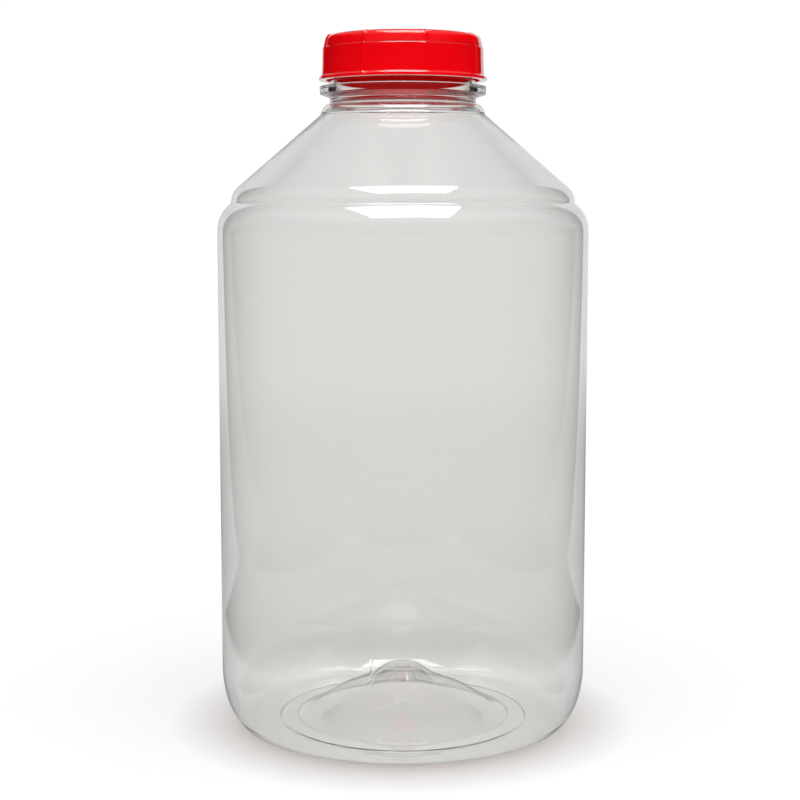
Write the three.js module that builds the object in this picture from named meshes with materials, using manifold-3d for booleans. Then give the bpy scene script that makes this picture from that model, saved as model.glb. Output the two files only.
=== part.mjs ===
// Large clear wide-mouth water jug: a thin one-piece bottle with a threaded neck,
// a ribbed screw lid, and the soft seal ring that the lid presses onto the rim.
// Millimetres, +Z up. The origin is the centre of the base, on the surface the jug stands on.
// Outlines are drawn in the (radius, height) half-plane and revolved about Z.

import * as THREE from 'three';
import { mergeVertices } from 'three/addons/utils/BufferGeometryUtils.js';
import Module from 'manifold-3d';

const wasm = await Module();
wasm.setup();

// ---- Driving dimensions ----

const SIDES = 40;                 // facets round every revolved piece
const ARC_STEPS = 2;              // half the number of chords in an arc
const GAP = 0.3;                  // clearance between pieces that touch

const BODY_R = 142;
const BODY_WALL = 1.2;

const FOOT_R = 120;               // outer edge of the flat ring that the jug stands on
const FOOT_INNER_R = 97;
const HEEL_H = 45;
const FOOT_STEP = 1;              // step up from the flat ring to the underside
const NUB_R = 12.5;               // flat gate nub at the middle of the dome under the base
const NUB_Z = 41;
const DOME = [                    // the dome's steep top flank, gentler middle and steeper skirt
  [27, 30], [52, 19.5], [72, 6.5], [82, 2],
];

const SHOULDER_R = 26;            // rounding from the straight wall up to the groove
const SHOULDER_Z = 383.5;
const GROOVE_R = 131.4;           // crease between body and cone
const CONE_EDGE_R = 15.5;         // rounding at the foot of the cone
const CONE_EDGE_Z = 405;
const CONE_SLOPE = THREE.MathUtils.degToRad(40.8);

const BEAD_R = 8.5;               // rounded bead where the neck meets the cone
const BEAD_CENTRE_R = 54.1;
const BEAD_Z = 471.2;
const NECK_LOW_R = 55.7;
const BEAD_WALL = 2.2;
const BEAD_LOW_ANGLE = 0.1;       // where the bead starts above the cone, and ends inside the bore
const BEAD_BORE_ANGLE = 1.32;

const RING_R = 63.5;              // support ring under the lid
const RING_LOW_Z = 486.9;
const RING_TOP_Z = 492.5;
const RING_UNDER_Z = 484;
const RING_EDGE = 0.5;

const NECK_R = 55.5;              // threaded neck
const BORE_R = 51.2;
const BORE_LOW_Z = 481.5;
const RIM_Z = 525.4;
const RIM_CHAMFER = 1.7;
const RIM_ROUND = 0.5;

const LEAD = 5.08;                // one turn of the thread, five to the inch
const THREAD_TURNS = 1.5;
const THREAD_HEIGHT = 2.4;
const THREAD_ROOT_HALF = 1.25;
const THREAD_CREST_HALF = 0.6;
const THREAD_BURIED = 0.8;        // depth of the ridge inside the wall it grows from
const RUN_OUT = THREE.MathUtils.degToRad(25);
const NECK_THREAD_Z = 511.5;
const THREAD_OFFSET = 2.1;        // the lid's ridge lies this far under the neck's at the same angle

const LID_TOP_Z = 530.5;
const LID_PLATE = 2.5;
const LID_TOP_R = 55.15;          // edge of the flat top
const LID_TOP_ROUND = 4.4;        // rounding from the top down to the upper tier
const LID_TOP_STEPS = 3;
const LID_TIER_SLOPE = THREE.MathUtils.degToRad(14.5);
const LID_LEDGE_R = 61.2;         // top of the skirt
const LID_LEDGE_Z = 520.6;
const LID_LEDGE_H = 1.3;          // rise of the small ledge up to the upper tier
const LID_EDGE = 0.4;             // softening of the lid's edges
const LID_SKIRT_R = 61.8;
const LID_FLARE_H = 2;            // height of the flare from the skirt out to the flange
const LID_FLANGE_R = 64;
const LID_FLANGE_TOP_Z = 499.2;
const LID_LOW_Z = 497.1;
const LID_BORE_R = 58.5;
const LID_BORE_TOP_Z = 521.2;

const RIB_COUNT = 8;
const RIB_R = 1.15;
const RIB_SIDES = 6;
const RIB_STEPS = 8;
const RIB_FIRST_ANGLE = THREE.MathUtils.degToRad(16.6 - 90);

const SEAL_INNER_R = 50;
const SEAL_OUTER_R = 53.6;

// ---- Making and joining solids ----

function point(radius, height) {
  return new THREE.Vector2(radius, height);
}

// A closed geometry as a solid: positions only, shared vertices merged, slivers on the axis dropped.
function solid(geometry) {
  geometry.deleteAttribute('normal');
  geometry.deleteAttribute('uv');
  const merged = mergeVertices(geometry);
  const corners = merged.index.array;
  const kept = [];
  for (let i = 0; i < corners.length; i += 3) {
    const [a, b, c] = [corners[i], corners[i + 1], corners[i + 2]];
    if (a !== b && b !== c && c !== a) kept.push(a, b, c);
  }
  const vertProperties = new Float32Array(merged.attributes.position.array);
  const triVerts = Uint32Array.from(kept);
  return new wasm.Manifold(new wasm.Mesh({ numProp: 3, vertProperties, triVerts }));
}

// Revolves a closed outline about Z. Its points run anticlockwise in the (radius, height) plane.
function revolve(points) {
  const geometry = new THREE.LatheGeometry(points, SIDES);
  geometry.rotateX(Math.PI / 2);
  return solid(geometry);
}

function meshOf(name, body, material) {
  const { vertProperties, triVerts } = body.getMesh();
  const geometry = new THREE.BufferGeometry();
  geometry.setAttribute('position', new THREE.BufferAttribute(vertProperties, 3));
  geometry.setIndex(new THREE.BufferAttribute(triVerts, 1));
  geometry.computeVertexNormals();
  const mesh = new THREE.Mesh(geometry, material);
  mesh.name = name;
  return mesh;
}

// The same outline moved inward by the wall's thickness, mitred at its corners.
function inset(points, wall) {
  return points.map((p, i) => {
    const before = p.clone().sub(points[Math.max(i - 1, 0)]).normalize();
    const after = points[Math.min(i + 1, points.length - 1)].clone().sub(p).normalize();
    const along = before.clone().add(after).normalize();
    const mitre = wall / Math.max(along.dot(after), along.dot(before));
    const inward = point(-along.y, along.x);
    const moved = p.clone().addScaledVector(inward, mitre);
    return point(p.x === 0 ? 0 : moved.x, moved.y);
  });
}

// A helical ridge: a straight bar of trapezoid section, wound up the thread with tapered ends.
// outward is +1 for a ridge that stands out of a neck, -1 for one that stands into a bore.
function threadRidge(wallRadius, startZ, outward) {
  const turn = THREAD_TURNS * 2 * Math.PI;
  const section = new THREE.Shape([
    point(-THREAD_BURIED, -THREAD_ROOT_HALF),
    point(0, -THREAD_ROOT_HALF),
    point(THREAD_HEIGHT, -THREAD_CREST_HALF),
    point(THREAD_HEIGHT, THREAD_CREST_HALF),
    point(0, THREAD_ROOT_HALF),
    point(-THREAD_BURIED, THREAD_ROOT_HALF),
  ]);
  const steps = THREAD_TURNS * SIDES;
  const bar = new THREE.ExtrudeGeometry(section, { depth: turn, steps, bevelEnabled: false });
  const place = bar.attributes.position;
  for (let i = 0; i < place.count; i += 1) {
    const angle = turn - place.getZ(i);
    const fade = Math.min(1, angle / RUN_OUT, (turn - angle) / RUN_OUT);
    const height = Math.min(place.getX(i), Math.max(fade, 0) * THREAD_HEIGHT - THREAD_BURIED / 2);
    const radius = wallRadius + outward * height;
    const lift = startZ + outward * place.getY(i) + (LEAD * angle) / (2 * Math.PI);
    place.setXYZ(i, radius * Math.cos(angle), radius * Math.sin(angle), lift);
  }
  return solid(bar);
}

// ---- Bottle: base, heel, straight wall, shoulder, cone, bead, support ring, threaded neck ----

function baseToCone() {
  const outline = new THREE.Path();
  outline.setFromPoints([point(0, NUB_Z), point(NUB_R, NUB_Z)]);
  DOME.forEach(([radius, height]) => outline.lineTo(radius, height));
  outline.lineTo(FOOT_INNER_R - FOOT_STEP, FOOT_STEP);
  outline.lineTo(FOOT_INNER_R, 0);
  outline.lineTo(FOOT_R, 0);
  outline.absellipse(FOOT_R, HEEL_H, BODY_R - FOOT_R, HEEL_H, -Math.PI / 2, 0, false, 0);
  const shoulderCentreR = BODY_R - SHOULDER_R;
  const shoulderEnd = Math.acos((GROOVE_R - shoulderCentreR) / SHOULDER_R);
  outline.absarc(shoulderCentreR, SHOULDER_Z, SHOULDER_R, 0, shoulderEnd, false);
  outline.absarc(GROOVE_R - CONE_EDGE_R, CONE_EDGE_Z, CONE_EDGE_R, 0, Math.PI / 2 - CONE_SLOPE, false);
  const cone = outline.currentPoint.clone();
  const coneTopR = BEAD_CENTRE_R + BEAD_R;
  outline.lineTo(coneTopR, cone.y + (cone.x - coneTopR) * Math.tan(CONE_SLOPE));
  return outline.getPoints(ARC_STEPS);
}

function neckOutside() {
  const outline = new THREE.Path();
  const beadEnd = Math.acos((NECK_LOW_R - BEAD_CENTRE_R) / BEAD_R);
  outline.absarc(BEAD_CENTRE_R, BEAD_Z, BEAD_R, BEAD_LOW_ANGLE, beadEnd, false);
  outline.lineTo(NECK_LOW_R, RING_UNDER_Z);
  outline.lineTo(RING_R - RING_EDGE, RING_LOW_Z - RING_EDGE);
  outline.lineTo(RING_R, RING_LOW_Z);
  outline.lineTo(RING_R, RING_TOP_Z - RING_EDGE);
  outline.lineTo(RING_R - RING_EDGE, RING_TOP_Z);
  outline.lineTo(NECK_R, RING_TOP_Z);
  outline.lineTo(NECK_R, RIM_Z - RIM_CHAMFER);
  outline.lineTo(NECK_R - RIM_CHAMFER, RIM_Z);
  return outline.getPoints(ARC_STEPS);
}

function neckInside() {
  const outline = new THREE.Path();
  outline.moveTo(BORE_R + RIM_ROUND, RIM_Z);
  outline.lineTo(BORE_R, RIM_Z - RIM_ROUND);
  outline.lineTo(BORE_R, BORE_LOW_Z);
  outline.absarc(BEAD_CENTRE_R, BEAD_Z, BEAD_R - BEAD_WALL, BEAD_BORE_ANGLE, BEAD_LOW_ANGLE, true);
  return outline.getPoints(ARC_STEPS);
}

function bottle() {
  const outside = baseToCone();
  const inside = inset(outside, BODY_WALL).reverse();
  const shell = revolve([...outside, ...neckOutside(), ...neckInside(), ...inside]);
  return shell.add(threadRidge(NECK_R, NECK_THREAD_Z, 1));
}

// ---- Lid: plate, rounded upper tier, drafted skirt with a thin flange, grip ribs, inner thread ----

// A point on the rounding at the lid's top edge, at this angle above the horizontal.
function onTopRound(angle, depth = 0) {
  const reach = LID_TOP_ROUND - depth;
  const centreZ = LID_TOP_Z - LID_TOP_ROUND;
  return point(LID_TOP_R + reach * Math.cos(angle), centreZ + reach * Math.sin(angle));
}

function lidOutline() {
  const plateUnderZ = LID_TOP_Z - LID_PLATE;
  const topRound = [];
  for (let i = 0; i <= LID_TOP_STEPS; i += 1) {
    topRound.push(onTopRound(THREE.MathUtils.lerp(LID_TIER_SLOPE, Math.PI / 2, i / LID_TOP_STEPS)));
  }
  const tierTop = topRound[0];
  const tierLowZ = LID_LEDGE_Z + LID_LEDGE_H;
  const tierLowR = tierTop.x + (tierTop.y - tierLowZ) * Math.tan(LID_TIER_SLOPE);
  return [
    point(0, plateUnderZ),
    point(SEAL_OUTER_R + GAP, plateUnderZ),
    point(LID_BORE_R - LID_EDGE, LID_BORE_TOP_Z + LID_EDGE),
    point(LID_BORE_R, LID_BORE_TOP_Z - LID_EDGE),
    point(LID_BORE_R, LID_LOW_Z),
    point(LID_FLANGE_R - LID_EDGE, LID_LOW_Z),
    point(LID_FLANGE_R, LID_LOW_Z + LID_EDGE),
    point(LID_FLANGE_R, LID_FLANGE_TOP_Z - LID_EDGE),
    point(LID_FLANGE_R - LID_EDGE, LID_FLANGE_TOP_Z),
    point(LID_SKIRT_R + 2 * LID_EDGE, LID_FLANGE_TOP_Z + LID_FLARE_H / 3),
    point(LID_SKIRT_R, LID_FLANGE_TOP_Z + LID_FLARE_H),
    point(LID_LEDGE_R, LID_LEDGE_Z),
    point(LID_LEDGE_R - LID_EDGE, LID_LEDGE_Z + LID_LEDGE_H / 2),
    point(tierLowR, tierLowZ),
    ...topRound,
    point(0, LID_TOP_Z),
  ];
}

// A half-buried round bar that follows the lid's outside from the top edge down to the flange.
function gripRib(angle) {
  const route = [
    point(LID_TOP_R, LID_TOP_Z - RIB_R),
    onTopRound((LID_TIER_SLOPE + Math.PI / 2) / 2, LID_EDGE),
    onTopRound(LID_TIER_SLOPE, LID_EDGE),
    point(LID_LEDGE_R - LID_EDGE, LID_LEDGE_Z),
    point(LID_SKIRT_R - LID_EDGE, LID_LOW_Z + RIB_R),
  ];
  const path = new THREE.CatmullRomCurve3(route.map((p) => new THREE.Vector3(p.x, 0, p.y)));
  const corners = [];
  for (let i = 0; i < RIB_SIDES; i += 1) {
    const turn = (2 * Math.PI * i) / RIB_SIDES;
    corners.push(point(RIB_R * Math.cos(turn), RIB_R * Math.sin(turn)));
  }
  const section = new THREE.Shape(corners);
  const bar = new THREE.ExtrudeGeometry(section, { steps: RIB_STEPS, extrudePath: path });
  bar.rotateZ(angle);
  return solid(bar);
}

function lid() {
  let body = revolve(lidOutline()).add(threadRidge(LID_BORE_R, NECK_THREAD_Z - THREAD_OFFSET, -1));
  for (let i = 0; i < RIB_COUNT; i += 1) {
    body = body.add(gripRib(RIB_FIRST_ANGLE + (2 * Math.PI * i) / RIB_COUNT));
  }
  return body;
}

// ---- Seal ring: a flat soft ring between the rim and the lid's plate ----

function sealRing() {
  const low = RIM_Z + GAP;
  const high = LID_TOP_Z - LID_PLATE - GAP;
  const ring = [
    point(SEAL_INNER_R, low),
    point(SEAL_OUTER_R, low),
    point(SEAL_OUTER_R, high),
    point(SEAL_INNER_R, high),
    point(SEAL_INNER_R, low),
  ];
  return revolve(ring);
}

// ---- Materials and assembly ----

const clearPlastic = new THREE.MeshStandardMaterial({
  color: 0xe4e6e3,
  roughness: 0.06,
  metalness: 0,
  transparent: true,
  opacity: 0.35,
});
const redPlastic = new THREE.MeshStandardMaterial({ color: 0xe8040c, roughness: 0.28, metalness: 0 });
const softSeal = new THREE.MeshStandardMaterial({ color: 0xf0efe9, roughness: 0.75, metalness: 0 });

const jug = new THREE.Group();
jug.add(meshOf('bottle', bottle(), clearPlastic));
jug.add(meshOf('lid', lid(), redPlastic));
jug.add(meshOf('lid_gasket', sealRing(), softSeal));

export default jug;
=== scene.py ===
"""Large clear wide-mouth water jug with a red screw lid, on a white studio floor.

Outlines are drawn in the (radius, height) half-plane in millimetres and revolved about Z.
"""

import math

import bpy
import numpy as np
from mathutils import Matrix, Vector


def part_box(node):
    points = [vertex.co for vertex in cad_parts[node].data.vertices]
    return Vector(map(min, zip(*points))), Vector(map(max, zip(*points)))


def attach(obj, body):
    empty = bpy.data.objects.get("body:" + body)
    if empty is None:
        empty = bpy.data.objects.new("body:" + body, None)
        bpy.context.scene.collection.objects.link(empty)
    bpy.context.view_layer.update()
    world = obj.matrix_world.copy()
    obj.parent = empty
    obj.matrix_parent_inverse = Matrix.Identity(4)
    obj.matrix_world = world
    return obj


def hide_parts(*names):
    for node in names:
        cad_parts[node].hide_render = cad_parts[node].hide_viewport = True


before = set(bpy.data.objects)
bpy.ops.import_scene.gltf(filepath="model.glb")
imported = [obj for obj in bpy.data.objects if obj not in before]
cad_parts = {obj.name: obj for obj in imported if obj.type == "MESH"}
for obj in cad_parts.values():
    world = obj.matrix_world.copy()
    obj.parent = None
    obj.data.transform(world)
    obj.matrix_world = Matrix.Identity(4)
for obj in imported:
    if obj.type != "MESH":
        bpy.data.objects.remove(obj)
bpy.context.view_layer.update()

MM = 0.001

# ---- Driving dimensions, in millimetres, taken from the frame's own boxes where it has them ----

_, BOTTLE_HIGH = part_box("bottle")
LID_LOW, LID_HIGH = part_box("lid")
SEAL_LOW, SEAL_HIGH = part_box("lid_gasket")

BODY_R = BOTTLE_HIGH.x / MM
RIM_Z = BOTTLE_HIGH.z / MM
LID_TOP_Z = LID_HIGH.z / MM
LID_LOW_Z = LID_LOW.z / MM
FLANGE_R = LID_HIGH.x / MM

FOOT_R = 120
FOOT_HOLD_R = 119                 # a point here keeps the flat foot's shading off the heel
FOOT_INNER_R = 96.9
FOOT_STEP = 1.0                   # the foot stands this far below the ring inside it
HEEL_H = 45
NUB_R = 12.5                      # flat gate nub at the middle of the dome under the base
NUB_Z = 41
NUB_ROUND = 2.5
DOME = [                          # radius, height, and how far each side of it the corner is rounded
    (27, 30, 6),
    (52, 19.5, 7),
    (72, 6.5, 4),
    (82, 2.4, 0.8),
    (82.8, 1.7, 0.4),
]
WALL_AT_Z = [0, 60, 370, 400, 460, 475]
WALL = [1.4, 1.0, 1.0, 1.2, 1.4, 2.0]
SHOULDER_R = 26
SHOULDER_Z = 383.5
GROOVE_R = 131.4
CONE_EDGE_R = 15.5
CONE_EDGE_Z = 405
CONE_SLOPE = math.radians(40.8)
BEAD_R = 8.5
BEAD_CENTRE_R = 54.1
BEAD_Z = 471.2
BEAD_WALL = 2.2
NECK_LOW_R = 55.7
RING_R = 63.5
RING_LOW_Z = 486.9
RING_TOP_Z = 492.5
RING_UNDER_Z = 484
NECK_R = 55.5
BORE_R = 51.2
BORE_LOW_Z = 481.5
RIM_CHAMFER = 1.7

LEAD = 5.08
THREAD_TURNS = 1.5
THREAD_FADE = math.radians(25)    # each end of a ridge sinks into its wall over this turn
THREAD_SINK = 0.4
THREAD_FLANK = [                  # how far the lower half stands out, and its height from the middle
    (-0.8, -1.3),
    (0, -1.28),
    (0.3, -1.12),
    (2.1, -0.62),
    (2.32, -0.48),
    (2.4, -0.25),
]
NECK_THREAD_Z = 511.5
THREAD_OFFSET = 2.1               # the lid's ridge starts this far below the neck's

LID_PLATE = 2.5
LID_TOP_R = 55.15
LID_TOP_ROUND = 4.4
LID_TIER_SLOPE = 14.5             # degrees
LID_LEDGE_R = 61.2
LID_LEDGE_Z = 520.6
LID_LEDGE_H = 1.3
LID_SKIRT_R = 61.8
LID_FLARE_H = 2
LID_FLANGE_TOP_Z = 499.2
LID_BORE_R = 58.5
LID_BORE_TOP_Z = 521.2

RIB_COUNT = 8
RIB_HEIGHT = 0.95
RIB_HALF = 1.35                   # half its width
RIB_SPAN = RIB_HALF / 58          # the same as an angle
RIB_FULLNESS = 0.7                # below 1 fills out the rib's round section
RIB_LOW_FADE = 1.2                # its foot grows out of the flange over this height
RIB_TOP_FADE = 3                  # and its top out of the lid's rounded edge over this radius
RIB_FIRST = math.radians(-73.4)

SEAL_BORE_R = 50
SEAL_ROUND = 0.4

SEAM_ANGLES = (math.radians(-99), math.radians(81))
SEAM_HEIGHT = 0.07
SEAM_HALF = 0.5
SEAM_SPAN = SEAM_HALF / 130
SEAM_TOP_Z = 471

COLUMNS = 256                     # steps round the axis
SEAM_COLUMNS = 5                  # columns across a seam
RIB_COLUMNS = 15                  # and across a rib
CORNER_POINTS = 6
LONG_SPAN = 2.5                   # a stretch longer than this gets a supporting point
SUPPORT = 0.4                     # this far from an end that meets a shorter stretch
SMOOTH_BELOW = 35                 # edges that turn less than this many degrees are shaded smooth
LID_SMOOTH_BELOW = 50

PET_IOR = 1.57
PET_TINT = (0.97, 0.966, 0.956)
PET_SHADOW = (0.97, 0.965, 0.96)  # what one surface lets through to a shadow ray


# ---- Outlines ----

class Outline:
    """Points in the (radius, height) plane, joined by lines and arcs. Corners are rounded last."""

    def __init__(self, radius, height):
        self.at = [(radius, height)]
        self.rounded = {}

    def line(self, radius, height, steps=1):
        start = self.at[-1]
        for i in range(1, steps + 1):
            t = i / steps
            self.at.append((start[0] + (radius - start[0]) * t, start[1] + (height - start[1]) * t))
        return self

    def arc(self, centre, radii, start, end, steps):
        """An arc of a circle or ellipse, from one angle to another in degrees."""
        for i in range(steps + 1):
            turn = math.radians(start + (end - start) * i / steps)
            radius = centre[0] + radii[0] * math.cos(turn)
            height = centre[1] + radii[1] * math.sin(turn)
            self.at.append((radius, height))
        return self

    def corner(self, reach):
        """Rounds the last point, starting this far before it and ending this far after it."""
        self.rounded[len(self.at) - 1] = reach
        return self

    def points(self):
        at = np.array(self.at, float)
        length = np.concatenate([[0], np.cumsum(np.hypot(*np.diff(at, axis=0).T))])

        def place(s):
            return np.array([np.interp(s, length, at[:, 0]), np.interp(s, length, at[:, 1])])

        kept, skip_to = [], -1.0
        for i, p in enumerate(at):
            reach = self.rounded.get(i)
            coming = [length[j] - r for j, r in self.rounded.items() if j > i]
            if reach:
                a, b = place(length[i] - reach), place(length[i] + reach)
                for t in np.linspace(0, 1, CORNER_POINTS):
                    kept.append((1 - t) ** 2 * a + 2 * t * (1 - t) * p + t * t * b)
                skip_to = length[i] + reach
            elif length[i] > skip_to + 1e-6 and length[i] < min(coming, default=math.inf) - 1e-6:
                kept.append(p)
        return np.array(kept)


def inset(points, wall):
    """The outline moved to its left by the wall's thickness."""
    along = np.gradient(points, axis=0)
    along /= np.linalg.norm(along, axis=1)[:, None]
    moved = points + np.stack([-along[:, 1], along[:, 0]], 1) * np.asarray(wall)[..., None]
    moved[points[:, 0] == 0, 0] = 0
    return moved


def supported(points):
    """The outline with points added near its corners, which keep the smooth shading there."""
    spans = [math.dist(a, b) for a, b in zip(points, points[1:])]
    out = [points[0]]
    for i, span in enumerate(spans):
        start, end = points[i], points[i + 1]
        if span > LONG_SPAN and i > 0 and spans[i - 1] < LONG_SPAN:
            out.append(start + (end - start) * SUPPORT / span)
        if span > LONG_SPAN and i + 1 < len(spans) and spans[i + 1] < LONG_SPAN:
            out.append(end + (start - end) * SUPPORT / span)
        out.append(end)
    return np.array(out)


# ---- Meshes ----

def new_object(name, vertices, faces, sharp=SMOOTH_BELOW):
    mesh = bpy.data.meshes.new(name)
    mesh.from_pydata([tuple(v) for v in vertices], [], faces)
    mesh.validate()
    mesh.polygons.foreach_set("use_smooth", [True] * len(mesh.polygons))
    mesh.set_sharp_from_angle(angle=math.radians(sharp))
    made = bpy.data.objects.new(name, mesh)
    bpy.context.scene.collection.objects.link(made)
    return made


def revolve(name, points, angles, shape=None, sharp=SMOOTH_BELOW):
    """Revolves an open outline whose two ends lie on the axis, or a closed one, about Z.

    shape(angles, points, normals) says how far each grid point stands out along its normal."""
    closed = points[0][0] > 0
    points = supported(points)
    count = len(points)
    along = np.gradient(points, axis=0)
    along /= np.linalg.norm(along, axis=1)[:, None]
    normals = np.stack([along[:, 1], -along[:, 0]], 1)
    out = np.zeros((len(angles), count)) if shape is None else shape(np.array(angles), points, normals)
    radius = points[None, :, 0] + normals[None, :, 0] * out
    height = points[None, :, 1] + normals[None, :, 1] * out
    turn = np.array(angles)[:, None]
    grid = np.stack([radius * np.cos(turn), radius * np.sin(turn), height], -1) * MM
    columns = len(angles)
    inner = range(count) if closed else range(1, count - 1)
    index = {}
    vertices = []
    faces = []
    for i in range(columns):
        for j in inner:
            index[i, j] = len(vertices)
            vertices.append(grid[i, j])
    if not closed:
        for j in (0, count - 1):
            vertices.append(grid[:, j].mean(0))
            for i in range(columns):
                index[i, j] = len(vertices) - 1
    for i in range(columns):
        k = (i + 1) % columns
        for j in range(count if closed else count - 1):
            m = (j + 1) % count
            corners = [index[i, j], index[k, j], index[k, m], index[i, m]]
            faces.append([c for n, c in enumerate(corners) if c not in corners[:n]])
    return new_object(name, vertices, faces, sharp)


def even_angles(count):
    return [2 * math.pi * i / count for i in range(count)]


def refined(angles, centres, half, count):
    """The angles, with those within half of a centre replaced by count even ones across it."""
    def away(a, c):
        return abs((a - c + math.pi) % (2 * math.pi) - math.pi)

    kept = [a for a in angles if all(away(a, c) > half * 1.15 for c in centres)]
    for c in centres:
        kept += [(c + half * (2 * i / (count - 1) - 1)) % (2 * math.pi) for i in range(count)]
    return sorted(kept)


def thread_ridge(name, wall, start_z, outward):
    """A helical ridge with tapered ends, its root buried in the wall it grows from."""
    steps = int(THREAD_TURNS * COLUMNS / 2)
    turn = THREAD_TURNS * 2 * math.pi
    section = THREAD_FLANK + [(x, -y) for x, y in reversed(THREAD_FLANK)]
    vertices = []
    faces = []
    for i in range(steps + 1):
        angle = turn * i / steps
        fade = min(1, angle / THREAD_FADE, (turn - angle) / THREAD_FADE)
        fade = fade * fade * (3 - 2 * fade)
        for x, y in section:
            stand = x if x <= 0 else x * fade - THREAD_SINK * (1 - fade)
            radius = wall + outward * stand
            lift = start_z + y + LEAD * angle / (2 * math.pi)
            vertices.append((radius * math.cos(angle) * MM, radius * math.sin(angle) * MM, lift * MM))
    n = len(section)
    for i in range(steps):
        for j in range(n):
            k = (j + 1) % n
            quad = [i * n + j, i * n + k, (i + 1) * n + k, (i + 1) * n + j]
            faces.append(quad if outward < 0 else quad[::-1])
    ends = [list(range(n)), list(range(steps * n, steps * n + n))[::-1]]
    faces += [e[::-1] for e in ends] if outward < 0 else ends
    return new_object(name, vertices, faces)


def join(body, tool):
    """Body and tool as one closed solid. The tool is used up."""
    cut = body.modifiers.new("join", "BOOLEAN")
    cut.operation = "UNION"
    cut.solver = "MANIFOLD"
    cut.object = tool
    seen = body.evaluated_get(bpy.context.evaluated_depsgraph_get())
    mesh = bpy.data.meshes.new_from_object(seen)
    body.modifiers.clear()
    body.data = mesh
    bpy.data.objects.remove(tool)
    mesh.polygons.foreach_set("use_smooth", [True] * len(mesh.polygons))
    mesh.set_sharp_from_angle(angle=math.radians(SMOOTH_BELOW))
    return body


# ---- Bottle ----

def bottle_outline():
    """The outside, from the middle of the base up to the top of the cone."""
    low = Outline(0, NUB_Z)
    low.line(NUB_R, NUB_Z).corner(NUB_ROUND)
    for radius, height, reach in DOME:
        low.line(radius, height).corner(reach)
    low.line(FOOT_INNER_R - FOOT_STEP, FOOT_STEP, steps=2).corner(0.5)
    low.line(FOOT_INNER_R, 0).corner(0.5)
    low.line(FOOT_HOLD_R, 0, steps=3)
    low.arc((FOOT_R, HEEL_H), (BODY_R - FOOT_R, HEEL_H), -90, 0, steps=20)
    low.line(BODY_R, SHOULDER_Z, steps=8)
    centre = BODY_R - SHOULDER_R
    groove = math.degrees(math.acos((GROOVE_R - centre) / SHOULDER_R))
    low.arc((centre, SHOULDER_Z), (SHOULDER_R, SHOULDER_R), 0, groove, steps=16)
    low.corner(0.9)
    edge_at = (GROOVE_R - CONE_EDGE_R, CONE_EDGE_Z)
    low.arc(edge_at, (CONE_EDGE_R, CONE_EDGE_R), 2, 90 - math.degrees(CONE_SLOPE), steps=10)
    foot_r, foot_z = low.at[-1]
    top_r = BEAD_CENTRE_R + BEAD_R
    low.line(top_r, foot_z + (foot_r - top_r) * math.tan(CONE_SLOPE), steps=3)
    return low


def neck_outline(low):
    """The rest of the outside, from the cone up to the rim and down inside as far as the bead."""
    bead = (BEAD_CENTRE_R, BEAD_Z)
    inner_bead_r = BEAD_R - BEAD_WALL
    low.corner(1.2)
    bead_top = math.degrees(math.acos((NECK_LOW_R - BEAD_CENTRE_R) / BEAD_R))
    low.arc(bead, (BEAD_R, BEAD_R), 6, bead_top, steps=10)
    low.corner(1.0)
    low.line(NECK_LOW_R, RING_UNDER_Z, steps=2).corner(0.8)
    low.line(RING_R - 0.3, RING_LOW_Z - 0.4).corner(0.5)
    low.line(RING_R, RING_TOP_Z).corner(0.5)
    low.line(NECK_R, RING_TOP_Z, steps=2).corner(0.6)
    low.line(NECK_R, RIM_Z - RIM_CHAMFER, steps=4).corner(0.6)
    low.line(NECK_R - RIM_CHAMFER, RIM_Z).corner(0.5)
    low.line(BORE_R, RIM_Z).corner(0.5)
    low.line(BORE_R, BORE_LOW_Z, steps=4).corner(2.0)
    low.arc(bead, (inner_bead_r, inner_bead_r), 72, 6, steps=8)
    low.corner(1.2)
    return low


def bump(distance, half):
    """1 at the middle, falling smoothly to 0 at half."""
    swell = 0.5 + 0.5 * np.cos(np.pi * np.clip(distance / half, -1, 1))
    return np.where(np.abs(distance) < half, swell, 0)


def make_bottle():
    outside = bottle_outline().points()
    wall = np.interp(outside[:, 1], WALL_AT_Z, WALL)
    inside = inset(outside, wall)[::-1]
    whole = neck_outline(bottle_outline())
    for r, z in inside:
        whole.line(r, z)
    whole.at[-1] = (0, whole.at[-1][1])
    points = whole.points()

    def shape(angles, points, normals):
        out = np.zeros((len(angles), len(points)))
        turn = angles[:, None]
        radius, height = points[None, :, 0], points[None, :, 1]
        outer = (normals[None, :, 0] > 0.3) & (height > FOOT_STEP) & (height < SEAM_TOP_Z)
        for seam in SEAM_ANGLES:
            away = (turn - seam + np.pi) % (2 * np.pi) - np.pi
            out += np.where(outer, SEAM_HEIGHT * bump(away * radius, SEAM_HALF), 0)
        return out

    angles = refined(even_angles(COLUMNS), SEAM_ANGLES, SEAM_SPAN, SEAM_COLUMNS)
    body = revolve("bottle_shell", points, angles, shape)
    ridge = thread_ridge("bottle_ridge", NECK_R, NECK_THREAD_Z, 1)
    return join(body, ridge)


# ---- Lid ----

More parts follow.
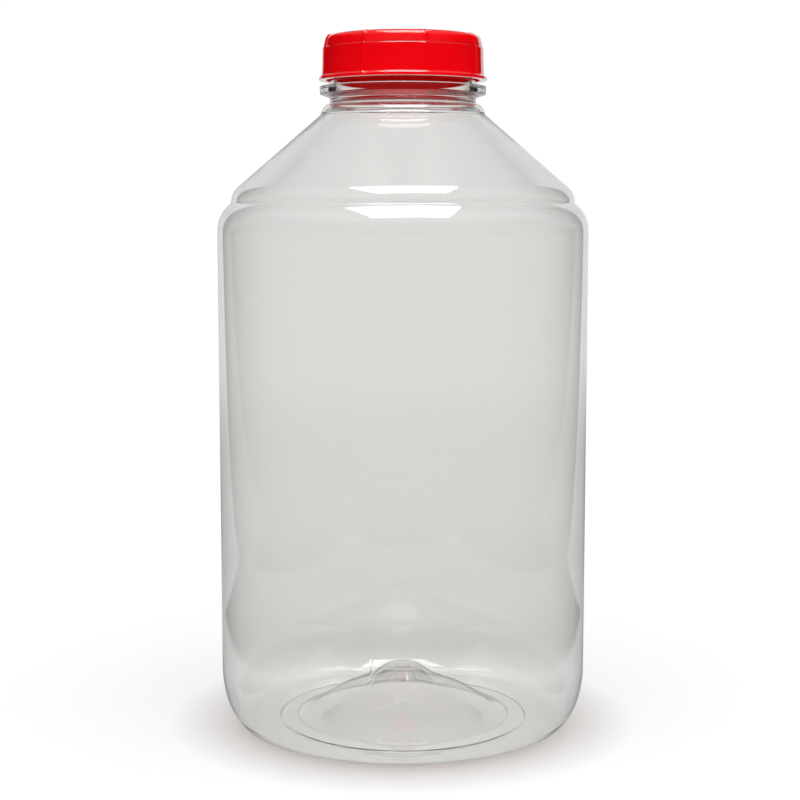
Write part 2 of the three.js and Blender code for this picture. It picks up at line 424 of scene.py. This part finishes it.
def lid_outline():
    """From the middle of the plate's underside, down the bore, round the flange and up to the top."""
    slope = math.radians(LID_TIER_SLOPE)
    round_z = LID_TOP_Z - LID_TOP_ROUND
    tier_top_r = LID_TOP_R + LID_TOP_ROUND * math.cos(slope)
    tier_top_z = round_z + LID_TOP_ROUND * math.sin(slope)
    tier_low_z = LID_LEDGE_Z + LID_LEDGE_H
    tier_low_r = tier_top_r + (tier_top_z - tier_low_z) * math.tan(slope)
    plate_z = LID_TOP_Z - LID_PLATE
    flare = (LID_SKIRT_R + LID_FLARE_H, LID_FLANGE_TOP_Z + LID_FLARE_H)
    edge = Outline(0, plate_z)
    edge.line(SEAL_HIGH.x / MM + 0.3, plate_z, steps=4).corner(0.5)
    edge.line(LID_BORE_R, LID_BORE_TOP_Z).corner(0.7)
    edge.line(LID_BORE_R, LID_LOW_Z, steps=10).corner(0.3)
    edge.line(FLANGE_R, LID_LOW_Z).corner(0.5)
    edge.line(FLANGE_R, LID_FLANGE_TOP_Z).corner(0.18)
    edge.arc(flare, (LID_FLARE_H, LID_FLARE_H), 270, 180, steps=6)
    edge.line(LID_LEDGE_R, LID_LEDGE_Z, steps=12).corner(0.55)
    edge.line(tier_low_r + 0.05, LID_LEDGE_Z + 0.5).corner(0.3)
    edge.line(tier_top_r, tier_top_z, steps=6)
    edge.arc((LID_TOP_R, round_z), (LID_TOP_ROUND, LID_TOP_ROUND), LID_TIER_SLOPE, 90, steps=10)
    edge.line(0, LID_TOP_Z, steps=8)
    return edge.points()


def make_lid():
    points = lid_outline()
    ribs = [RIB_FIRST + 2 * math.pi * i / RIB_COUNT for i in range(RIB_COUNT)]

    def shape(angles, points, normals):
        turn = angles[:, None]
        radius, height = points[None, :, 0], points[None, :, 1]
        outer = (normals[None, :, 0] > 0.05) & (radius > 52)
        low = np.clip((height - LID_FLANGE_TOP_Z) / RIB_LOW_FADE + 0.5, 0, 1)
        top = np.clip((radius - LID_TOP_R + 1) / RIB_TOP_FADE, 0, 1)
        room = (LID_TOP_Z - height) / np.maximum(normals[None, :, 1], 0.05)
        out = np.zeros((len(angles), len(points)))
        for rib in ribs:
            away = (turn - rib + np.pi) % (2 * np.pi) - np.pi
            section = RIB_HEIGHT * bump(away * radius, RIB_HALF) ** RIB_FULLNESS
            out += np.where(outer, section * low * top, 0)
        return np.minimum(out, room)

    angles = refined(even_angles(COLUMNS), ribs, RIB_SPAN, RIB_COLUMNS)
    body = revolve("lid_shell", points, angles, shape, sharp=LID_SMOOTH_BELOW)
    ridge = thread_ridge("lid_ridge", LID_BORE_R, NECK_THREAD_Z - THREAD_OFFSET, -1)
    return join(body, ridge)


# ---- Seal ring ----

def make_seal():
    outer = SEAL_HIGH.x / MM
    low = SEAL_LOW.z / MM
    high = SEAL_HIGH.z / MM
    middle = (SEAL_BORE_R + outer) / 2
    ring = Outline(middle, low)
    for radius, height in ((outer, low), (outer, high), (SEAL_BORE_R, high), (SEAL_BORE_R, low)):
        ring.line(radius, height).corner(SEAL_ROUND)
    ring.line(middle - 0.2, low)
    return revolve("seal_ring", ring.points(), even_angles(COLUMNS))


# ---- Materials ----

def material(name):
    made = bpy.data.materials.new(name)
    made.use_nodes = True
    nodes, links = made.node_tree.nodes, made.node_tree.links
    shader = nodes["Principled BSDF"]
    return made, nodes, links, shader


def noise(nodes, links, scale, detail=2.0, stretch=(1, 1, 1)):
    where = nodes.new("ShaderNodeTexCoord")
    turn = nodes.new("ShaderNodeMapping")
    turn.inputs["Scale"].default_value = stretch
    grain = nodes.new("ShaderNodeTexNoise")
    grain.inputs["Scale"].default_value = scale
    grain.inputs["Detail"].default_value = detail
    links.new(where.outputs["Object"], turn.inputs["Vector"])
    links.new(turn.outputs["Vector"], grain.inputs["Vector"])
    return grain.outputs["Fac"]


def spread(nodes, links, value, low, high):
    scaled = nodes.new("ShaderNodeMapRange")
    scaled.inputs["To Min"].default_value = low
    scaled.inputs["To Max"].default_value = high
    links.new(value, scaled.inputs["Value"])
    return scaled.outputs["Result"]


def clear_plastic():
    """Clear moulded plastic. Shadow rays pass straight through, so light reaches what is behind it."""
    made, nodes, links, shader = material("clear_pet")
    shader.inputs["Base Color"].default_value = (*PET_TINT, 1)
    shader.inputs["Transmission Weight"].default_value = 1.0
    shader.inputs["IOR"].default_value = PET_IOR
    patches = noise(nodes, links, scale=9)
    links.new(spread(nodes, links, patches, 0.0, 0.035), shader.inputs["Roughness"])
    soft = nodes.new("ShaderNodeBump")
    soft.inputs["Strength"].default_value = 0.08
    soft.inputs["Distance"].default_value = 0.002
    waves = noise(nodes, links, scale=7, detail=1.0, stretch=(1, 1, 0.5))
    links.new(waves, soft.inputs["Height"])
    links.new(soft.outputs["Normal"], shader.inputs["Normal"])
    path = nodes.new("ShaderNodeLightPath")
    clear = nodes.new("ShaderNodeBsdfTransparent")
    clear.inputs["Color"].default_value = (*PET_SHADOW, 1)
    mixed = nodes.new("ShaderNodeMixShader")
    links.new(path.outputs["Is Shadow Ray"], mixed.inputs["Fac"])
    links.new(shader.outputs["BSDF"], mixed.inputs[1])
    links.new(clear.outputs["BSDF"], mixed.inputs[2])
    links.new(mixed.outputs["Shader"], nodes["Material Output"].inputs["Surface"])
    return made


def red_plastic():
    """Glossy red moulding, slightly translucent."""
    made, nodes, links, shader = material("red_lid")
    tone = nodes.new("ShaderNodeMix")
    tone.data_type = "RGBA"
    tone.inputs["A"].default_value = (0.86, 0.0004, 0.004, 1)
    tone.inputs["B"].default_value = (0.91, 0.0006, 0.005, 1)
    links.new(noise(nodes, links, scale=30), tone.inputs["Factor"])
    links.new(tone.outputs["Result"], shader.inputs["Base Color"])
    patches = noise(nodes, links, scale=60)
    links.new(spread(nodes, links, patches, 0.08, 0.12), shader.inputs["Roughness"])
    shader.inputs["Coat Weight"].default_value = 1.0
    shader.inputs["Coat Roughness"].default_value = 0.04
    shader.inputs["Coat IOR"].default_value = 1.6
    shader.inputs["Subsurface Weight"].default_value = 0.8
    shader.inputs["Subsurface Radius"].default_value = (1.0, 0.04, 0.04)
    shader.inputs["Subsurface Scale"].default_value = 0.007
    grain = nodes.new("ShaderNodeBump")
    grain.inputs["Strength"].default_value = 0.05
    grain.inputs["Distance"].default_value = 0.0003
    links.new(noise(nodes, links, scale=900, detail=3), grain.inputs["Height"])
    links.new(grain.outputs["Normal"], shader.inputs["Normal"])
    return made


def soft_seal():
    made, nodes, links, shader = material("seal_foam")
    tone = nodes.new("ShaderNodeMix")
    tone.data_type = "RGBA"
    tone.inputs["A"].default_value = (0.80, 0.79, 0.74, 1)
    tone.inputs["B"].default_value = (0.88, 0.87, 0.83, 1)
    links.new(noise(nodes, links, scale=80), tone.inputs["Factor"])
    links.new(tone.outputs["Result"], shader.inputs["Base Color"])
    patches = noise(nodes, links, scale=200)
    links.new(spread(nodes, links, patches, 0.55, 0.75), shader.inputs["Roughness"])
    cells = nodes.new("ShaderNodeBump")
    cells.inputs["Strength"].default_value = 0.3
    cells.inputs["Distance"].default_value = 0.0002
    links.new(noise(nodes, links, scale=1500, detail=3), cells.inputs["Height"])
    links.new(cells.outputs["Normal"], shader.inputs["Normal"])
    return made


# ---- Studio, in metres: -Y is the front ----

FLOOR_R = 30.0
FLOOR_DROP = 0.0004               # the floor lies this far under the foot
WHITE = 1.03                      # radiance of the backdrop and of the open floor
THROUGH = 0.865                   # the share of WHITE seen through the clear plastic, far off
THROUGH_PAINTED_STEPS = [                 # painted shade and light on it along y: each factor is whole up to the first y, and gone by the second
    # painted shade on all of the floor nearer the jug than this
    ((1.4, 2.8), 0.94),
    # more painted shade close behind the jug and nearer
    ((0.45, 0.95), 0.948),
    ((0.10, 0.24), 1.26),         # painted light under the back half of the base
    # the painted light under the base taken back again in front of it
    ((-0.02, 0.10), 1 / 1.26),
]
CONTACT_REACH = 0.05              # the floor is shaded by what is nearer than this
CONTACT = (0.53, 0.48, 0.465)     # the painted contact shadow's tint where the object closes off everything above it
FLOOR_ALBEDO = 0.75
FILL_ON_FLOOR = 1.117             # the fill's light on a level face; the floor's own glow makes up WHITE
CARD = 0.74                       # what reflections see of the backdrop, and of the floor's painted light
PAINTED_CARD_NEAR = 0.45                  # and of the floor's painted light close behind the jug
PAINTED_BOARD_LIGHT = 0.50                # and of the board of painted light under it
PAINTED_CARD_NEAR_AT = (0.7, 3.0)
CARD_HALF = (32.0, 35.0)          # the bright backdrop ends between these angles off +Y, in degrees
CEILING = 0.30                    # an even ceiling takes over above these heights of the direction
CEILING_AT = (0.40, 0.70)
PAINTED_SWEEP = (0.30, 0.487, 0.64)       # the sweep of painted light on the floor: the y it starts at, half its width, its widening
PAINTED_BOARD = (0.32, -0.37)             # the board of painted light under the jug: half its width, and its front edge
SIDE_FLOOR = (0.13, 0.113, 0.102) # what reflections see of the floor beside these
DARK_ROOM = 0.006                 # and of the room above it
SOFT_EDGE = 0.02                  # how far each side of their edges these fade
FILL = 0.60                       # soft light on matt surfaces: the same from every side,
FILL_FRONT = 0.88                 # more from the front and less from behind,
FILL_RIGHT = 0.14                 # a little more from the right,
FILL_LEAST = 0.30                 # never less than this,
FILL_TOP = 1.4                    # and from an overhead panel
PANEL_EDGE = (0.75, 0.90)         # between these heights of the direction
SOFTBOX_AT = (0.03, -0.41, 1.4)
SOFTBOX_AIM = (0, -0.14, 0.40)
SOFTBOX_SIZE = (0.83, 0.85)
SOFTBOX_RADIANCE = 5.0

CAMERA_AT = (-0.00224, -1.3063, 0.4049)
CAMERA_DOWN = 6.66                # degrees
LENS_MM = 76.05
SENSOR_MM = 36


def math_node(nodes, links, operation, *values):
    made = nodes.new("ShaderNodeMath")
    made.operation = operation
    for socket, value in zip(made.inputs, values):
        if isinstance(value, (int, float)):
            socket.default_value = value
        else:
            links.new(value, socket)
    return made.outputs["Value"]


def step_node(nodes, links, value, start, end, low, high):
    """A smooth step of the value, from low at start to high at end."""
    made = nodes.new("ShaderNodeMapRange")
    made.interpolation_type = "SMOOTHSTEP"
    for name, number in (("From Min", start), ("From Max", end), ("To Min", low), ("To Max", high)):
        made.inputs[name].default_value = number
    links.new(value, made.inputs["Value"])
    return made.outputs["Result"]


def choose(nodes, links, factor, zero, one):
    made = nodes.new("ShaderNodeMix")
    for name, value in (("Factor", factor), ("A", zero), ("B", one)):
        if isinstance(value, (int, float)):
            made.inputs[name].default_value = value
        else:
            links.new(value, made.inputs[name])
    return made.outputs["Result"]


def bounced(nodes, links):
    """Two flags: the ray has left something glossy, and the ray has left something matt."""
    path = nodes.new("ShaderNodeLightPath")
    return [math_node(nodes, links, "MINIMUM", path.outputs[name], 1.0)
            for name in ("Glossy Depth", "Diffuse Depth")]


def split(nodes, links, vector, flat=False):
    """The parts of the vector's direction, or with flat of its direction in plan."""
    if flat:
        level = nodes.new("ShaderNodeVectorMath")
        level.operation = "MULTIPLY"
        level.inputs[1].default_value = (1, 1, 0)
        links.new(vector, level.inputs[0])
        vector = level.outputs["Vector"]
    unit = nodes.new("ShaderNodeVectorMath")
    unit.operation = "NORMALIZE"
    links.new(vector, unit.inputs[0])
    part = nodes.new("ShaderNodeSeparateXYZ")
    links.new(unit.outputs["Vector"], part.inputs["Vector"])
    return part.outputs["X"], part.outputs["Y"], part.outputs["Z"]


def fill_light(nodes, links, x, y):
    """The soft light on matt surfaces that comes from the direction with these two parts."""
    side = math_node(nodes, links, "MULTIPLY_ADD", x, FILL_RIGHT, FILL)
    both = math_node(nodes, links, "MULTIPLY_ADD", y, -FILL_FRONT, side)
    return math_node(nodes, links, "MAXIMUM", both, FILL_LEAST)


def make_floor():
    """White paper, with a painted contact shadow where the object meets it and painted shade and light
    along y where it is seen through the clear plastic. Reflections see painted light on it only in
    places.
    """
    ring = [(FLOOR_R * math.cos(a), FLOOR_R * math.sin(a), -FLOOR_DROP) for a in even_angles(64)]
    floor = new_object("studio_floor", ring, [list(range(64))])
    made, nodes, links, shader = material("pale_floor")
    shader.inputs["Roughness"].default_value = 1.0
    shader.inputs["Specular IOR Level"].default_value = 0.0
    where = nodes.new("ShaderNodeTexCoord").outputs["Object"]
    place = nodes.new("ShaderNodeSeparateXYZ")
    links.new(where, place.inputs["Vector"])
    across = math_node(nodes, links, "ABSOLUTE", place.outputs["X"])
    ahead = place.outputs["Y"]

    def edge(value, at, rising):
        ends = (0.0, 1.0) if rising else (1.0, 0.0)
        return step_node(nodes, links, value, at - SOFT_EDGE, at + SOFT_EDGE, *ends)

    def both(one, other):
        return math_node(nodes, links, "MULTIPLY", one, other)

    # painted light for reflections: a sweep and a board glow on the floor, with no lamp on them
    widening = math_node(nodes, links, "MULTIPLY_ADD", ahead, -PAINTED_SWEEP[2], across)
    painted_sweep = both(edge(ahead, PAINTED_SWEEP[0], True), edge(widening, PAINTED_SWEEP[1], False))
    painted_board = both(edge(across, PAINTED_BOARD[0], False), edge(ahead, PAINTED_BOARD[1], True))
    painted_near_rise = step_node(nodes, links, ahead, *PAINTED_CARD_NEAR_AT, PAINTED_CARD_NEAR, CARD)
    painted_brightness = choose(nodes, links, painted_board, painted_near_rise, PAINTED_BOARD_LIGHT)
    painted_light_mask = math_node(nodes, links, "MAXIMUM", painted_sweep, painted_board)
    path = nodes.new("ShaderNodeLightPath")
    # painted shade and light along y, on the floor as it is seen through the clear plastic
    through_painted_tone = THROUGH
    for ends, factor in THROUGH_PAINTED_STEPS:
        through_painted_tone = both(through_painted_tone, step_node(nodes, links, ahead, *ends, factor, 1.0))
    share = choose(nodes, links, path.outputs["Is Camera Ray"], through_painted_tone, 1.0)
    # painted contact shadow: ambient occlusion darkens the floor's colour and glow, for camera rays only
    near = nodes.new("ShaderNodeAmbientOcclusion")
    near.samples = 8
    near.inputs["Distance"].default_value = CONTACT_REACH
    shadow = nodes.new("ShaderNodeMix")
    shadow.data_type = "RGBA"
    shadow.inputs["A"].default_value = (*CONTACT, 1)
    shadow.inputs["B"].default_value = (1, 1, 1, 1)
    indirect = math_node(nodes, links, "SUBTRACT", 1.0, path.outputs["Is Camera Ray"])
    unshaded = math_node(nodes, links, "MAXIMUM", near.outputs["AO"], indirect)
    links.new(unshaded, shadow.inputs["Factor"])
    glow_level = WHITE - FLOOR_ALBEDO * FILL_ON_FLOOR
    for socket, level in (("Base Color", FLOOR_ALBEDO), ("Emission Color", glow_level)):
        paper = nodes.new("ShaderNodeVectorMath")
        paper.operation = "SCALE"
        links.new(shadow.outputs["Result"], paper.inputs[0])
        links.new(math_node(nodes, links, "MULTIPLY", share, level), paper.inputs["Scale"])
        links.new(paper.outputs["Vector"], shader.inputs[socket])
    shader.inputs["Emission Strength"].default_value = 1.0
    # what reflections see of the floor: the painted light, and dark beside it
    seen = nodes.new("ShaderNodeMix")
    seen.data_type = "RGBA"
    seen.inputs["A"].default_value = (*SIDE_FLOOR, 1)
    links.new(painted_brightness, seen.inputs["B"])
    links.new(painted_light_mask, seen.inputs["Factor"])
    glossy, matt = bounced(nodes, links)
    x, y, _ = split(nodes, links, where)
    # painted light: matt surfaces see the floor glow with the fill, brighter towards the front and the
    # right
    tone = nodes.new("ShaderNodeMix")
    tone.data_type = "RGBA"
    links.new(matt, tone.inputs["Factor"])
    links.new(seen.outputs["Result"], tone.inputs["A"])
    links.new(fill_light(nodes, links, x, y), tone.inputs["B"])
    glow = nodes.new("ShaderNodeEmission")
    links.new(tone.outputs["Result"], glow.inputs["Color"])
    mixed = nodes.new("ShaderNodeMixShader")
    links.new(math_node(nodes, links, "MAXIMUM", glossy, matt), mixed.inputs["Fac"])
    links.new(shader.outputs["BSDF"], mixed.inputs[1])
    links.new(glow.outputs["Emission"], mixed.inputs[2])
    links.new(mixed.outputs["Shader"], nodes["Material Output"].inputs["Surface"])
    floor.data.materials.append(made)
    return floor


def make_softbox():
    """The one lamp. It shows in gloss and glass only, because the fill lights the matt surfaces."""
    width, height = SOFTBOX_SIZE
    lamp = bpy.data.lights.new("softbox", "AREA")
    lamp.shape = "RECTANGLE"
    lamp.size = width
    lamp.size_y = height
    lamp.energy = SOFTBOX_RADIANCE * math.pi * width * height
    made = bpy.data.objects.new("softbox", lamp)
    made.location = SOFTBOX_AT
    toward = Vector(SOFTBOX_AIM) - Vector(SOFTBOX_AT)
    made.rotation_euler = toward.to_track_quat("-Z", "Y").to_euler()
    made.visible_diffuse = False
    bpy.context.scene.collection.objects.link(made)


def make_world():
    """A white backdrop. Reflections see it only behind the jug, and a dark room round the rest."""
    world = bpy.data.worlds.new("studio")
    bpy.context.scene.world = world
    world.use_nodes = True
    nodes, links = world.node_tree.nodes, world.node_tree.links
    where = nodes.new("ShaderNodeTexCoord").outputs["Generated"]
    _, level_y, _ = split(nodes, links, where, flat=True)
    near, far = (math.cos(math.radians(a)) for a in CARD_HALF)
    low = step_node(nodes, links, level_y, far, near, DARK_ROOM, CARD)
    x, y, z = split(nodes, links, where)
    card = choose(nodes, links, step_node(nodes, links, z, *CEILING_AT, 0.0, 1.0), low, CEILING)
    panel = step_node(nodes, links, z, *PANEL_EDGE, 0.0, FILL_TOP)
    fill = math_node(nodes, links, "ADD", fill_light(nodes, links, x, y), panel)
    glossy, matt = bounced(nodes, links)
    path = nodes.new("ShaderNodeLightPath")
    straight = choose(nodes, links, path.outputs["Is Camera Ray"], THROUGH * WHITE, WHITE)
    strength = choose(nodes, links, matt, choose(nodes, links, glossy, straight, card), fill)
    links.new(strength, nodes["Background"].inputs["Strength"])
    nodes["Background"].inputs["Color"].default_value = (1, 1, 1, 1)
    world.cycles.sampling_method = "NONE"


def make_camera():
    lens = bpy.data.cameras.new("camera")
    lens.lens = LENS_MM
    lens.sensor_width = SENSOR_MM
    made = bpy.data.objects.new("camera", lens)
    made.location = CAMERA_AT
    made.rotation_euler = (math.radians(90 - CAMERA_DOWN), 0, 0)
    bpy.context.scene.collection.objects.link(made)
    bpy.context.scene.camera = made


# ---- Making it all ----

def main():
    make_camera()
    pieces = [
        (make_bottle(), "bottle", "bottle", "clear_plastic", clear_plastic()),
        (make_lid(), "lid", "lid", "red_plastic", red_plastic()),
        (make_seal(), "seal", "lid_gasket", "soft_seal", soft_seal()),
    ]
    for piece, body, node, slot, finish in pieces:
        piece.data.materials.clear()
        piece.data.materials.append(finish)
        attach(piece, body)
        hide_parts(node)
    make_floor()
    make_world()
    make_softbox()
    scene = bpy.context.scene
    scene.view_settings.view_transform = "Standard"
    scene.cycles.max_bounces = 32
    scene.cycles.transmission_bounces = 32
    scene.cycles.glossy_bounces = 12
    scene.cycles.transparent_max_bounces = 32


main()
